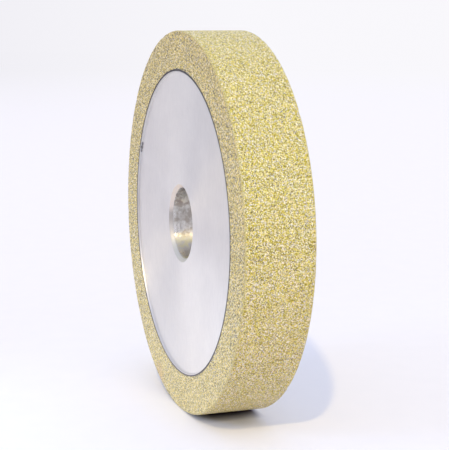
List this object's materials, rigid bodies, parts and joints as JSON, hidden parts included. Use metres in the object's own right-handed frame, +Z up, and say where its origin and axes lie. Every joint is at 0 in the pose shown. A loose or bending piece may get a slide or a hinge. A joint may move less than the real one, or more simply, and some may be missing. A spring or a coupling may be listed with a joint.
{
  "type": "diamond grinding wheel",
  "caption": "Straight diamond grinding wheel: a deep yellow abrasive ring bonded round a relieved aluminium hub with a chamfered plain bore.",
  "frame": {"origin": "the wheel's centre: on the bore's axis, midway between the two faces", "axes": "the wheel turns about +Y, its front face looks towards -Y, and +Z is up with the wheel standing on its rim"},
  "size_m": [0.15, 0.0266, 0.15],
  "materials": {
    "turned_aluminium": "satin",
    "dark_adhesive": "matte",
    "diamond_abrasive": "matte"
  },
  "bodies": {
    "root": {"aluminium_core": "turned_aluminium", "bond_layer": "dark_adhesive", "abrasive_ring": "diamond_abrasive"}
  },
  "joints": []
}
